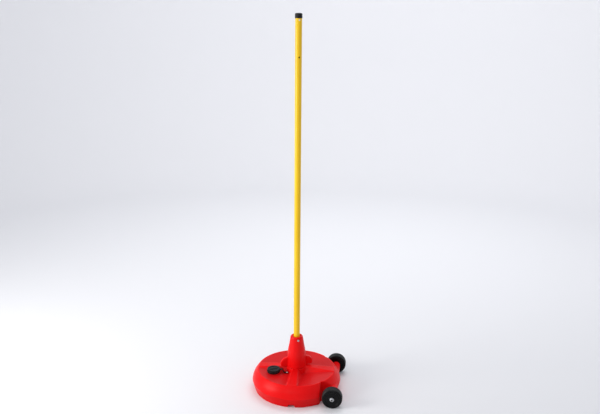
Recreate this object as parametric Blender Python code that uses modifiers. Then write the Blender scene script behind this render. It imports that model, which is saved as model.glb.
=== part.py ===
"""Training weave pole: a tube held in a turn-lock socket on a fillable base with two wheels.

Metres, +Z up. The origin is the middle of the base's flat underside, on the pole's axis.
The axle lies along Y at the +X end.
"""
import math

import bmesh
import bpy
from mathutils import Matrix, Vector

OBJECT_NAME = "weave_pole"
CUTTER_NAME = "weave_pole_cutters"

GAP = 0.0003
WALL = 0.004
FINE = 72
ROUND = 40
SMALL = 24

# Base
BASE_R = 0.2165
BASE_FOOT_R = 0.205
BASE_WIDE_Z = 0.040
HUB_R = 0.0495
HUB_TOP = 0.115
RIM_R = 0.187
RIM_TOP = 0.1040
FLOOR_HUB = 0.0890
FLOOR_RIM = 0.1012
RIB_HALF_HUB = 0.0135
RIB_HALF_RIM = 0.0235
RIB_LEAN = 0.65
RIB_ANGLES = (0, 90, 180, 270)
NOTCH_ANGLES = (90, 180, 270)
NOTCH_BOTTOM = 0.035
NOTCH_TOP = 0.0235
NOTCH_H = 0.017
NOTCH_DEPTH = 0.022

# Pole
POLE_R = 0.0150
POLE_WALL = 0.0018
POLE_LENGTH = 1.60
POLE_FACING = math.radians(-70)
POLE_RIVET_DROP = 0.030
POLE_HOLE_DROP = 0.187
POLE_HOLE_R = 0.0036
POLE_CAP_SKIRT = 0.0225
RIVET_HEAD_R = 0.0036

# Socket
SOCKET_TOP = 0.2705
SOCKET_SEAT = 0.170
SPIGOT_R = 0.0355
SPIGOT_END = 0.063
WING_R = 0.079
WING_TOP = 0.1625
WING_THICK = 0.016
WING_ANGLE = math.radians(20)
TWIST = math.radians(60)
SCREW_Z = 0.257
SCREW_R = 0.003

# Wheels
WHEEL_R = 0.0480
WHEEL_W = 0.040
WHEEL_IN = 0.153
WHEEL_LIFT = 0.0005
AXLE_R = 0.006
AXLE_X = 0.188
HOUSING_R = 0.020
POCKET_GAP = 0.0100

# Filler
FILLER_X = -0.105
FILLER_Y = -0.056
NECK_R = 0.0225
NECK_HOLE_R = 0.0185
NECK_TOP = 0.1110
CAP_R = 0.031
CAP_LOW = 0.0995
CAP_TOP = 0.1170
STRAP_W = 0.012
STRAP_T = 0.0020
TAB_X = -0.0415
TAB_Y = -0.0440
TAB_R = 0.0065

AXLE_Z = WHEEL_R + WHEEL_LIFT
POCKET_X = AXLE_X - WHEEL_R - POCKET_GAP
POCKET_Y = WHEEL_IN - 0.023
POCKET_SLOPE = 0.466
BORE_R = POLE_R + 0.00035
POLE_LOW = SOCKET_SEAT + GAP
POLE_TOP = POLE_LOW + POLE_LENGTH + 0.0047

RED = (0.745, 0.010, 0.012)
YELLOW = (0.890, 0.520, 0.018)
BLACK = (0.010, 0.011, 0.011)
TREAD = (0.030, 0.031, 0.031)
STEEL = (0.620, 0.625, 0.640)
BRASS = (0.560, 0.400, 0.140)
WHITE = (0.780, 0.780, 0.760)
GREY = (0.200, 0.205, 0.210)


def clear_scene():
    for obj in list(bpy.data.objects):
        bpy.data.objects.remove(obj, do_unlink=True)


def new_collection(name):
    home = bpy.data.collections.new(name)
    bpy.context.scene.collection.children.link(home)
    return home


def add_object(name, mesh, home):
    obj = bpy.data.objects.new(name, mesh)
    home.objects.link(obj)
    if home.name == CUTTER_NAME:
        obj.hide_render = True
        obj.display_type = "WIRE"
    return obj


def revolve(name, profile, home, steps=ROUND, closed=False, phase=0.0):
    """Solid of revolution about Z from (r, z) points that run down the outer side.

    A cutter gets a phase, in degrees, so that its facets never line up with the part's.
    """
    count = len(profile)
    edges = [(i, i + 1) for i in range(count - 1)]
    if closed:
        edges.append((count - 1, 0))
    mesh = bpy.data.meshes.new(name)
    mesh.from_pydata([polar(r, math.radians(phase), z) for r, z in profile], edges, [])
    obj = add_object(name, mesh, home)
    screw = obj.modifiers.new("Revolve", "SCREW")
    screw.axis = "Z"
    screw.angle = math.tau
    screw.steps = steps
    screw.render_steps = steps
    screw.use_merge_vertices = True
    screw.merge_threshold = 0.00001
    screw.use_smooth_shade = True
    return obj


def loft(name, rings, home):
    """Closed solid through equal rings, each anticlockwise seen from the last ring's end."""
    size = len(rings[0])
    verts = [point for ring in rings for point in ring]
    last = (len(rings) - 1) * size
    faces = [tuple(reversed(range(size))), tuple(range(last, last + size))]
    for k in range(len(rings) - 1):
        low = k * size
        for i in range(size):
            j = (i + 1) % size
            faces.append((low + i, low + j, low + size + j, low + size + i))
    mesh = bpy.data.meshes.new(name)
    mesh.from_pydata(verts, [], faces)
    return add_object(name, mesh, home)


def prism(name, outline, low, high, home):
    """Upright solid on an (x, y) outline."""
    return loft(name, [[(x, y, z) for x, y in outline] for z in (low, high)], home)


def cylinder(name, radius, start, end, home, segments=SMALL):
    """Round bar between two points."""
    start = Vector(start)
    along = Vector(end) - start
    turn = along.to_track_quat("Z", "Y").to_matrix().to_4x4()
    place = Matrix.Translation(start + along / 2) @ turn
    bm = bmesh.new()
    bmesh.ops.create_cone(bm, cap_ends=True, segments=segments, radius1=radius,
                          radius2=radius, depth=along.length, matrix=place)
    mesh = bpy.data.meshes.new(name)
    bm.to_mesh(mesh)
    bm.free()
    return add_object(name, mesh, home)


def combine(obj, others, operation):
    for other in others:
        step = obj.modifiers.new(other.name, "BOOLEAN")
        step.object = other
        step.operation = operation
        step.solver = "EXACT"


def soften(obj, width, segments=2):
    bevel = obj.modifiers.new("Bevel", "BEVEL")
    bevel.width = width
    bevel.segments = segments
    bevel.limit_method = "ANGLE"
    bevel.angle_limit = math.radians(40)


def paint(obj, colour, roughness, metallic=0.0):
    mat = bpy.data.materials.new(obj.name)
    mat.use_nodes = True
    shader = mat.node_tree.nodes["Principled BSDF"]
    shader.inputs["Base Color"].default_value = (*colour, 1.0)
    shader.inputs["Roughness"].default_value = roughness
    shader.inputs["Metallic"].default_value = metallic
    obj.data.materials.append(mat)


def spin(obj, degrees):
    obj.data.transform(Matrix.Rotation(math.radians(degrees), 4, "Z"))


def polar(radius, angle, z):
    return (radius * math.cos(angle), radius * math.sin(angle), z)


def sector(inner, outer, start, end, count=10):
    """Outline of part of a flat ring, anticlockwise."""
    angles = [start + (end - start) * i / count for i in range(count + 1)]
    far = [(outer * math.cos(a), outer * math.sin(a)) for a in angles]
    near = [(inner * math.cos(a), inner * math.sin(a)) for a in reversed(angles)]
    return far + near


def floor_z(radius):
    """Height of the dished floor between the ribs."""
    inner = HUB_R + 0.002
    return FLOOR_HUB + (radius - inner) * (FLOOR_RIM - FLOOR_HUB) / (RIM_R - 0.004 - inner)


def rib_z(radius):
    return HUB_TOP + (radius - HUB_R) * (RIM_TOP - HUB_TOP) / (RIM_R - HUB_R)


def rib_half(radius, inset):
    grow = (radius - HUB_R) * (RIB_HALF_RIM - RIB_HALF_HUB) / (RIM_R - HUB_R)
    return RIB_HALF_HUB + grow - inset * math.hypot(1.0, RIB_LEAN)


def body_profile(inset):
    """Outside of the base, or its tank when inset by a wall."""
    side = [(RIM_R + t * (BASE_R - RIM_R) + 0.0036 * math.sin(math.pi * t),
             RIM_TOP + t * (BASE_WIDE_Z - RIM_TOP)) for t in (0.03, 0.2, 0.4, 0.6, 0.8, 0.96)]
    points = [(0.0, HUB_TOP), (HUB_R, HUB_TOP), (RIM_R - 0.0035, RIM_TOP + 0.0003),
              (RIM_R - 0.0008, RIM_TOP - 0.0006)]
    points += [*side, (BASE_R, BASE_WIDE_Z - 0.001), (BASE_FOOT_R, 0.003),
               (BASE_FOOT_R - 0.002, 0.0), (0.0, 0.0)]
    middle = HUB_TOP / 2
    shifted = []
    for r, z in points:
        lift = -inset if z > middle + 0.02 else inset if z < 0.01 else 0.0
        shifted.append((max(r - inset, 0.0) if r > HUB_R else r, z + lift))
    return shifted


def dish(name, inset, home):
    """Ring that takes the four floors down between the ribs."""
    inner = HUB_R - inset
    drop = -inset
    profile = [(inner, 0.16), (0.26, 0.16), (0.26, FLOOR_RIM - 0.0020 + drop),
               (RIM_R + 0.0008, FLOOR_RIM - 0.0020 + drop),
               (RIM_R - 0.0012, FLOOR_RIM - 0.0006 + drop), (RIM_R - 0.004, FLOOR_RIM + drop),
               (inner + 0.002, FLOOR_HUB + drop)]
    ring = revolve(name, profile, home, FINE, closed=True, phase=1.3 + inset * 200)
    keeps = []
    for angle in RIB_ANGLES:
        rings = []
        for radius in (0.02, 0.27):
            high = rib_z(radius) + 0.008
            low = 0.060
            wide = rib_half(radius, inset) + RIB_LEAN * (rib_z(radius) - low)
            thin = rib_half(radius, inset) - RIB_LEAN * 0.008
            rings.append([(radius, -wide, low), (radius, wide, low), (radius, thin, high),
                          (radius, -thin, high)])
        keep = loft(f"{name}_rib_{angle}", rings, home)
        spin(keep, angle)
        keeps.append(keep)
    combine(ring, keeps, "DIFFERENCE")
    return ring


def pocket(name, side, inset, home):
    """Wheel pocket: a flat inner wall across the axle and a slanted wall beside the wheel."""
    left = POCKET_X - inset
    far = 0.28
    outline = []
    for x in (left, far):
        reach = POCKET_Y - POCKET_SLOPE * (x - POCKET_X) - inset * math.hypot(1.0, POCKET_SLOPE)
        outline.append((x, side * reach))
    outline += [(far, side * 0.28), (left, side * 0.28)]
    if side < 0:
        outline.reverse()
    return prism(name, outline, -0.02, 0.16, home)


def notch(name, angle, inset, home):
    """Finger notch under the rim."""
    top = NOTCH_H + inset
    rings = []
    for radius in (BASE_FOOT_R - NOTCH_DEPTH - inset, 0.25):
        wide = NOTCH_BOTTOM / 2 + 0.006 + inset
        thin = NOTCH_TOP / 2 + inset
        rings.append([(radius, -wide, -0.018), (radius, wide, -0.018), (radius, thin, top),
                      (radius, -thin, top)])
    cutter = loft(name, rings, home)
    spin(cutter, angle)
    return cutter


def make_tank(cutters):
    """Hollow that holds the water or sand."""
    tank = revolve("cut_tank", body_profile(WALL), cutters, FINE, phase=2.9)
    keeps = []
    for side in (-1, 1):
        keeps.append(pocket(f"cut_tank_pocket_{side + 1}", side, WALL, cutters))
    for angle in NOTCH_ANGLES:
        keeps.append(notch(f"cut_tank_notch_{angle}", angle, WALL, cutters))
    keeps.append(cylinder("cut_tank_axle", AXLE_R + WALL + 0.0005, (AXLE_X, -0.3, AXLE_Z),
                          (AXLE_X, 0.3, AXLE_Z), cutters))
    centre = cylinder("cut_tank_well", HUB_R - 0.0022, (0, 0, SPIGOT_END - 0.011),
                      (0, 0, 0.2), cutters, FINE)
    spin(centre, 3.6)
    keeps.append(centre)
    keeps.append(cylinder("cut_tank_boss", 0.0060, (TAB_X, TAB_Y, 0.0770),
                          (TAB_X, TAB_Y, 0.2), cutters))
    keeps.append(dish("cut_tank_dish", WALL, cutters))
    combine(tank, keeps, "DIFFERENCE")
    return tank


def make_well(cutters):
    """Blind hole for the socket, with two entry slots and two locking grooves."""
    radius = SPIGOT_R + 0.001
    well = cylinder("cut_well", radius, (0, 0, SPIGOT_END - 0.002), (0, 0, 0.2), cutters, FINE)
    spin(well, 1.1)
    slots = []
    half = math.radians(9.5)
    for index in range(2):
        lug = WING_ANGLE + math.pi * index
        groove = sector(radius - 0.004, radius + 0.005, lug - half, lug + TWIST + half, 16)
        entry = sector(radius - 0.004, radius + 0.005, lug + TWIST - half, lug + TWIST + half)
        slots.append(prism(f"cut_groove_{index}", groove, 0.0665, 0.0765, cutters))
        slots.append(prism(f"cut_entry_{index}", entry, 0.0675, 0.2, cutters))
    combine(well, slots, "UNION")
    return well


def make_base(parts, cutters):
    base = revolve("base_shell", body_profile(0.0), parts, FINE)
    cuts = []
    for side in (-1, 1):
        cuts.append(pocket(f"cut_pocket_{side + 1}", side, 0.0, cutters))
    for angle in NOTCH_ANGLES:
        cuts.append(notch(f"cut_notch_{angle}", angle, 0.0, cutters))
    cuts.append(dish("cut_dish", 0.0, cutters))
    combine(base, cuts, "DIFFERENCE")
    reach = WHEEL_IN - 0.005
    housing = cylinder("add_housing", HOUSING_R, (AXLE_X, -reach, AXLE_Z),
                       (AXLE_X, reach, AXLE_Z), cutters, ROUND)
    pad = cylinder("add_pad", CAP_R - 0.001, (FILLER_X, FILLER_Y, 0.086),
                   (FILLER_X, FILLER_Y, CAP_LOW - 0.001), cutters, ROUND)
    neck = cylinder("add_neck", NECK_R, (FILLER_X, FILLER_Y, 0.087),
                    (FILLER_X, FILLER_Y, NECK_TOP), cutters, ROUND)
    combine(base, [housing, pad, neck], "UNION")
    holes = [make_tank(cutters), make_well(cutters)]
    holes.append(cylinder("cut_neck", NECK_HOLE_R, (FILLER_X, FILLER_Y, 0.070),
                          (FILLER_X, FILLER_Y, 0.2), cutters, ROUND))
    holes.append(cylinder("cut_axle", AXLE_R + 0.0002, (AXLE_X, -0.3, AXLE_Z),
                          (AXLE_X, 0.3, AXLE_Z), cutters))
    holes.append(cylinder("cut_strap_rivet", 0.0021, (TAB_X, TAB_Y, 0.0820),
                          (TAB_X, TAB_Y, 0.2), cutters, 16))
    combine(base, holes, "DIFFERENCE")
    paint(base, RED, 0.38)


def make_socket(parts, cutters):
    top = SOCKET_TOP
    foot = HUB_TOP + GAP
    profile = [(0, top), (0.0250, top), (0.0280, top - 0.0015), (0.0292, top - 0.0045),
               (0.0305, 0.258), (0.0320, 0.250), (0.0355, 0.2225), (0.0400, 0.200),
               (0.0430, 0.182), (0.0445, 0.158), (HUB_R - 0.0025, foot), (SPIGOT_R, foot),
               (SPIGOT_R, SPIGOT_END), (0, SPIGOT_END)]
    socket = revolve("socket", profile, parts, ROUND)
    low = foot + 0.0006
    half = [(WING_R - 0.012, low), (WING_R - 0.0035, low + 0.0040), (WING_R, low + 0.0125)]
    half += [(0.040 + (WING_R - 0.040) * math.cos(a), 0.131 + (WING_TOP - 0.131) * math.sin(a))
             for a in (math.radians(d) for d in (15, 32, 50, 68, 84))]
    outline = half + [(-x, z) for x, z in reversed(half)]
    rings = [[(x, y, z) for x, z in outline] for y in (WING_THICK / 2, -WING_THICK / 2)]
    wings = loft("add_wings", rings, cutters)
    soften(wings, 0.0035, 3)
    spin(wings, math.degrees(WING_ANGLE))
    adds = [wings]
    half_lug = math.radians(7.5)
    for index in range(2):
        lug = WING_ANGLE + math.pi * index
        outline = sector(SPIGOT_R - 0.002, SPIGOT_R + 0.0045, lug - half_lug, lug + half_lug, 6)
        adds.append(prism(f"add_lug_{index}", outline, 0.0680, 0.0750, cutters))
    combine(socket, adds, "UNION")
    tube = BORE_R + 0.0045
    mouth = BORE_R + 0.00565
    bore = [(0, 0.3), (mouth, 0.3), (mouth, top - 0.0005), (mouth - 0.0025, top - 0.0045),
            (BORE_R, top - 0.0075), (BORE_R, SOCKET_SEAT), (0, SOCKET_SEAT)]
    hollow = [(0, SOCKET_SEAT - WALL), (tube, SOCKET_SEAT - WALL), (tube, 0.240), (0.0268, 0.240),
              (0.0310, 0.2225), (0.0355, 0.200), (0.0385, 0.182), (0.0400, 0.158),
              (HUB_R - 0.0075, foot + 0.006), (SPIGOT_R - WALL, foot + 0.003),
              (SPIGOT_R - WALL, 0.05), (0, 0.05)]
    cuts = [revolve("cut_bore", bore, cutters, ROUND, phase=3.1),
            revolve("cut_hollow", hollow, cutters, ROUND, phase=1.7)]
    cuts.append(cylinder("cut_screw", SCREW_R + 0.0023, polar(0.006, POLE_FACING, SCREW_Z),
                         polar(0.05, POLE_FACING, SCREW_Z), cutters, SMALL))
    combine(socket, cuts, "DIFFERENCE")
    paint(socket, RED, 0.36)


def hexagon_cut(name, flats, start, end, cutters):
    return cylinder(name, flats / math.sqrt(3), start, end, cutters, 6)


def make_clamp(parts, cutters):
    """Clamp screw in its threaded insert, both on a radial line near the socket's mouth."""
    tip = POLE_R + 0.0006
    seat = 0.0320
    aim = Vector(polar(1.0, POLE_FACING, 0.0)).to_track_quat("Z", "Y")
    home = polar(0.0, 0.0, SCREW_Z)
    screw = revolve("clamp_screw", [
        (0, seat + 0.0035), (0.0036, seat + 0.0035), (0.0048, seat + 0.0024), (0.0048, seat),
        (SCREW_R, seat), (SCREW_R, tip + 0.0006), (SCREW_R - 0.0006, tip), (0, tip)], parts, SMALL)
    combine(screw, [hexagon_cut("cut_screw_hex", 0.004, (0, 0, seat + 0.0012),
                                (0, 0, seat + 0.01), cutters)], "DIFFERENCE")
    insert = revolve("clamp_insert", [
        (SCREW_R + GAP, 0.0286), (SCREW_R + 0.0020, 0.0286), (SCREW_R + 0.0020, POLE_R + 0.0016),
        (SCREW_R + GAP, POLE_R + 0.0016)], parts, SMALL, closed=True)
    for obj in (screw, insert, bpy.data.objects["cut_screw_hex"]):
        obj.location = home
        obj.rotation_mode = "QUATERNION"
        obj.rotation_quaternion = aim
    paint(screw, STEEL, 0.28, 1.0)
    paint(insert, BRASS, 0.35, 1.0)


def make_pole(parts, cutters):
    low = POLE_LOW + 0.0030
    high = POLE_TOP - 0.0035
    inner = POLE_R - POLE_WALL
    tube = revolve("pole_tube", [(inner, high), (POLE_R, high), (POLE_R, low), (inner, low)],
                   parts, SMALL, closed=True)
    rivet_z = POLE_TOP - POLE_RIVET_DROP
    holes = []
    for name, z, radius in (("cut_rivet", rivet_z, 0.0018),
                            ("cut_pole_hole", POLE_TOP - POLE_HOLE_DROP, POLE_HOLE_R)):
        holes.append(cylinder(name, radius, polar(0.005, POLE_FACING, z),
                              polar(0.02, POLE_FACING, z), cutters, 16))
    combine(tube, holes, "DIFFERENCE")
    paint(tube, YELLOW, 0.33)

    skirt = POLE_TOP - POLE_CAP_SKIRT
    plug = inner - GAP
    cap = revolve("pole_cap", [
        (0, POLE_TOP), (POLE_R - 0.0020, POLE_TOP), (POLE_R + 0.0005, POLE_TOP - 0.0012),
        (POLE_R + 0.0014, POLE_TOP - 0.004),
        (POLE_R + 0.0014, skirt), (POLE_R + GAP, skirt), (POLE_R + GAP, high + GAP),
        (plug, high + GAP), (plug, rivet_z - 0.008), (plug - 0.0015, rivet_z - 0.010),
        (0, rivet_z - 0.010)], parts, SMALL)
    pin = cylinder("cut_cap_rivet", 0.0018, polar(plug - 0.0029, POLE_FACING, rivet_z),
                   polar(plug + 0.0011, POLE_FACING, rivet_z), cutters, 16)
    combine(cap, [pin], "DIFFERENCE")
    paint(cap, BLACK, 0.5)

    rivet = revolve("pole_rivet", [
        (0, POLE_R + 0.0016), (RIVET_HEAD_R - 0.0012, POLE_R + 0.0012), (RIVET_HEAD_R, POLE_R + 0.0003),
        (0.0015, POLE_R + 0.0003), (0.0015, plug - 0.0022), (0, plug - 0.0022)], parts, SMALL)
    rivet.location = (0, 0, rivet_z)
    rivet.rotation_mode = "QUATERNION"
    rivet.rotation_quaternion = Vector(polar(1.0, POLE_FACING, 0.0)).to_track_quat("Z", "Y")
    paint(rivet, WHITE, 0.4)

    foot = revolve("pole_foot_plug", [
        (0, low + 0.018), (plug - 0.0012, low + 0.018), (plug, low + 0.016), (plug, low - GAP),
        (POLE_R - 0.0003, low - GAP), (POLE_R - 0.0003, POLE_LOW + 0.0006),
        (POLE_R - 0.0010, POLE_LOW), (0, POLE_LOW)], parts, SMALL)
    paint(foot, BLACK, 0.55)


def make_filler(parts, cutters):
    mid = (CAP_LOW + CAP_TOP) / 2
    roof = NECK_TOP + 0.0015
    cap = revolve("filler_cap", [
        (0, CAP_TOP - 0.0020), (0.0215, CAP_TOP - 0.0020), (0.0225, CAP_TOP),
        (CAP_R - 0.0015, CAP_TOP), (CAP_R, CAP_TOP - 0.0015), (CAP_R, mid + 0.0022),
        (CAP_R - 0.0025, mid + 0.0022), (CAP_R - 0.0025, mid - 0.0022), (CAP_R, mid - 0.0022),
        (CAP_R, CAP_LOW + 0.0008), (CAP_R - 0.0008, CAP_LOW), (NECK_R + 0.0007, CAP_LOW),
        (NECK_R + 0.0007, roof), (0, roof)], parts, ROUND)
    bar = prism("add_grip", [(-0.019, -0.0032), (0.019, -0.0032), (0.019, 0.0032), (-0.019, 0.0032)],
                CAP_TOP - 0.0030, CAP_TOP + 0.0004, cutters)
    bar.location = (FILLER_X, FILLER_Y, 0)
    bar.rotation_euler = (0, 0, math.radians(35))
    combine(cap, [bar], "UNION")
    cap.location = (FILLER_X, FILLER_Y, 0)
    flutes = []
    for index in range(16):
        x, y, _ = polar(CAP_R + 0.0012, math.tau * (index + 0.5) / 16, 0)
        flutes.append(cylinder(f"cut_flute_{index}", 0.0022, (FILLER_X + x, FILLER_Y + y, CAP_LOW - 0.01),
                               (FILLER_X + x, FILLER_Y + y, CAP_TOP + 0.01), cutters, 8))
    combine(cap, flutes, "DIFFERENCE")
    paint(cap, BLACK, 0.42)

    seal = revolve("filler_seal", [
        (NECK_HOLE_R + 0.0003, roof - GAP), (NECK_R - 0.0002, roof - GAP),
        (NECK_R - 0.0002, NECK_TOP + GAP), (NECK_HOLE_R + 0.0003, NECK_TOP + GAP)],
        parts, ROUND, closed=True)
    seal.location = (FILLER_X, FILLER_Y, 0)
    paint(seal, GREY, 0.7)


def make_strap(parts, cutters):
    """Flexible strap: a ring in the cap's groove, an S-shaped strip and a riveted tab."""
    mid = (CAP_LOW + CAP_TOP) / 2
    start = Vector((FILLER_X, FILLER_Y, 0))
    along = Vector((TAB_X, TAB_Y, 0)) - start
    length = along.length
    along.normalize()
    across = Vector((0, 0, 1)).cross(along)
    low = floor_z(math.hypot(TAB_X, TAB_Y)) + 0.0010
    tab_mid = low + 0.0012
    strap = revolve("cap_strap", [
        (CAP_R - 0.0021, mid + 0.0015), (CAP_R + 0.0020, mid + 0.0015),
        (CAP_R + 0.0020, mid - 0.0015), (CAP_R - 0.0021, mid - 0.0015)], parts, ROUND, closed=True)
    strap.location = start
    rings = []
    first = CAP_R - 0.0006
    count = 14
    for index in range(count + 1):
        t = index / count
        reach = first + (length - first) * t
        bend = min(max((t - 0.12) / 0.66, 0.0), 1.0)
        drop = bend * bend * (3 - 2 * bend)
        tilt = 6 * bend * (1 - bend) / (0.66 * (length - first)) * (tab_mid - mid)
        up = Vector((0, 0, 1)) - along * tilt
        up.normalize()
        centre = start + along * reach + Vector((0, 0, mid + (tab_mid - mid) * drop))
        corners = ((-1, -1), (-1, 1), (1, 1), (1, -1))
        rings.append([tuple(centre + across * (STRAP_W / 2 * a) + up * (STRAP_T / 2 * b))
                      for a, b in corners])
    strip = loft("add_strip", rings, cutters)
    tab = cylinder("add_tab", TAB_R, (TAB_X, TAB_Y, low), (TAB_X, TAB_Y, low + 0.0024), cutters)
    combine(strap, [strip, tab], "UNION")
    hole = cylinder("cut_tab", 0.0021, (TAB_X, TAB_Y, low - 0.01), (TAB_X, TAB_Y, low + 0.01),
                    cutters, 16)
    combine(strap, [hole], "DIFFERENCE")
    paint(strap, BLACK, 0.5)

    top = low + 0.0027
    rivet = revolve("strap_rivet", [
        (0, top + 0.0020), (0.0020, top + 0.0016), (0.0036, top + 0.0006), (0.0040, top),
        (0.0018, top), (0.0018, 0.0824), (0, 0.0824)], parts, SMALL)
    rivet.location = (TAB_X, TAB_Y, 0)
    paint(rivet, WHITE, 0.35)


def make_axle(parts, cutters):
    """Axle rod with a bolt and a washer at each end and a spacer inside each wheel."""
    out = WHEEL_IN + WHEEL_W
    rod = cylinder("axle_rod", AXLE_R, (0, -out - 0.0002, 0), (0, out + 0.0002, 0), parts)
    rod.location = (AXLE_X, 0, AXLE_Z)
    paint(rod, STEEL, 0.35, 1.0)
    for tag, side in (("right", -1), ("left", 1)):
        turn = (math.radians(-90 * side), 0, 0)
        drill = cylinder(f"cut_tap_{tag}", 0.0031, (AXLE_X, side * (out - 0.018), AXLE_Z),
                         (AXLE_X, side * (out + 0.01), AXLE_Z), cutters, SMALL)
        combine(rod, [drill], "DIFFERENCE")
        near = out + 0.0005
        washer = revolve(f"axle_washer_{tag}", [
            (0.0031, near + 0.0015), (0.0098, near + 0.0015), (0.0100, near + 0.0013),
            (0.0100, near), (0.0031, near)], parts, SMALL, closed=True)
        head = near + 0.0018
        bolt = revolve(f"axle_bolt_{tag}", [
            (0, head + 0.0050), (0.0062, head + 0.0050), (0.0078, head + 0.0038),
            (0.0085, head + 0.0014), (0.0085, head), (0.0028, head), (0.0028, out - 0.0160),
            (0, out - 0.0160)], parts, SMALL)
        key = hexagon_cut(f"cut_key_{tag}", 0.0060, (0, 0, head + 0.0018), (0, 0, head + 0.02), cutters)
        combine(bolt, [key], "DIFFERENCE")
        spacer = revolve(f"wheel_spacer_{tag}", [
            (AXLE_R + GAP, WHEEL_IN - GAP), (AXLE_R + 0.0050, WHEEL_IN - GAP),
            (AXLE_R + 0.0050, WHEEL_IN - 0.0047), (AXLE_R + GAP, WHEEL_IN - 0.0047)],
            parts, SMALL, closed=True)
        for obj in (washer, bolt, key, spacer):
            obj.location = (AXLE_X, 0, AXLE_Z)
            obj.rotation_euler = turn
        paint(washer, STEEL, 0.3, 1.0)
        paint(bolt, STEEL, 0.25, 1.0)
        paint(spacer, BLACK, 0.5)


def make_wheels(parts):
    for tag, side in (("right", -1), ("left", 1)):
        low = WHEEL_IN
        high = WHEEL_IN + WHEEL_W
        rim = WHEEL_R - 0.0110
        sleeve = AXLE_R + 0.0016
        hub = revolve(f"wheel_hub_{tag}", [
            (sleeve, high), (sleeve + 0.0052, high), (sleeve + 0.0062, high - 0.0026),
            (rim - 0.0055, high - 0.0026), (rim - 0.0040, high - 0.0008), (rim, high - 0.0008),
            (rim, low + 0.0008), (rim - 0.0040, low + 0.0008), (rim - 0.0055, low + 0.0026),
            (sleeve + 0.0062, low + 0.0026), (sleeve + 0.0052, low), (sleeve, low)],
            parts, ROUND, closed=True)
        tyre = revolve(f"wheel_tyre_{tag}", [
            (rim + GAP, high - 0.0012), (rim + 0.0045, high), (rim + 0.0075, high - 0.0008),
            (WHEEL_R - 0.0010, high - 0.0035), (WHEEL_R, high - 0.0080), (WHEEL_R, low + 0.0080),
            (WHEEL_R - 0.0010, low + 0.0035), (rim + 0.0075, low + 0.0008), (rim + 0.0045, low),
            (rim + GAP, low + 0.0012)], parts, ROUND, closed=True)
        bush = revolve(f"wheel_bush_{tag}", [
            (AXLE_R + 0.0002, high - 0.0004), (sleeve - GAP, high - 0.0004),
            (sleeve - GAP, low + 0.0004), (AXLE_R + 0.0002, low + 0.0004)], parts, SMALL, closed=True)
        for obj in (hub, tyre, bush):
            obj.location = (AXLE_X, 0, AXLE_Z)
            obj.rotation_euler = (math.radians(-90 * side), 0, 0)
        paint(hub, BLACK, 0.45)
        paint(tyre, TREAD, 0.7)
        paint(bush, WHITE, 0.5)


def main():
    clear_scene()
    parts = new_collection(OBJECT_NAME)
    cutters = new_collection(CUTTER_NAME)
    cutters.hide_render = True
    make_base(parts, cutters)
    make_socket(parts, cutters)
    make_clamp(parts, cutters)
    make_pole(parts, cutters)
    make_filler(parts, cutters)
    make_strap(parts, cutters)
    make_axle(parts, cutters)
    make_wheels(parts)


main()
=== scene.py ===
import math

import bmesh
import bpy
import numpy as np
from mathutils import Matrix, Vector


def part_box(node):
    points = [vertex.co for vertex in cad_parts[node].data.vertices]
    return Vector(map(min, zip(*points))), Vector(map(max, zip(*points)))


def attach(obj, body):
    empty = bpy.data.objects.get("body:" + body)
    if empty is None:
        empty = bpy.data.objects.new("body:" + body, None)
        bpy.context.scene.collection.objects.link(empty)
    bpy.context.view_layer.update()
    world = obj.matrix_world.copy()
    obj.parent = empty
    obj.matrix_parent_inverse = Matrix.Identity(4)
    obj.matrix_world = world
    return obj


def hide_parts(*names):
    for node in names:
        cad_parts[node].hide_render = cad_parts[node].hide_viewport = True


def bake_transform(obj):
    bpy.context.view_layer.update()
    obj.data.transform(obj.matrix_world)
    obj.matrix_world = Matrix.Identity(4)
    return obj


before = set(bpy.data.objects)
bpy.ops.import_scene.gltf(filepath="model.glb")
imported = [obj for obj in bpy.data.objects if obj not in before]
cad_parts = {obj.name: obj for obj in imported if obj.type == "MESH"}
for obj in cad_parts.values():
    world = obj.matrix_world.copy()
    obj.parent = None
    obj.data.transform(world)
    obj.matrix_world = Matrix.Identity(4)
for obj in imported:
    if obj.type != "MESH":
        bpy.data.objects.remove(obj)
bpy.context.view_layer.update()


# ---------------------------------------------------------------- Base shell
# A low round tank of red polyethylene, moulded hollow in one piece so that it can be
# filled with water or sand. Four ribs run from the hub to the rim over dished floors, two
# pockets leave room for the wheels, and finger notches are moulded into its foot.

def soft_min(a, b, round_by):
    """The lower of two measures, with the crease between them rounded."""
    h = np.clip(0.5 + 0.5 * (b - a) / round_by, 0.0, 1.0)
    return b * (1 - h) + a * h - round_by * h * (1 - h)


def soft_max(a, b, round_by):
    """The higher of two measures, with the crease between them rounded."""
    return -soft_min(-a, -b, round_by)


def skin(name, rows, loop=False):
    """A smooth moulded surface through rings of points; ends on the axis close to a point."""
    rings, around, _ = rows.shape
    i, j = np.meshgrid(np.arange(rings if loop else rings - 1), np.arange(around), indexing="ij")
    up, on = (i + 1) % rings, (j + 1) % around
    quads = np.stack([i * around + j, up * around + j, up * around + on, i * around + on], -1)
    mesh = bpy.data.meshes.new(name)
    mesh.from_pydata(rows.reshape(-1, 3).tolist(), [], quads.reshape(-1, 4).tolist())
    made = bmesh.new()
    made.from_mesh(mesh)
    bmesh.ops.remove_doubles(made, verts=made.verts, dist=1e-6)
    bmesh.ops.dissolve_degenerate(made, edges=made.edges, dist=1e-6)
    bmesh.ops.recalc_face_normals(made, faces=made.faces)
    made.to_mesh(mesh)
    made.free()
    piece = bpy.data.objects.new(name, mesh)
    bpy.context.collection.objects.link(piece)
    return piece


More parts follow.
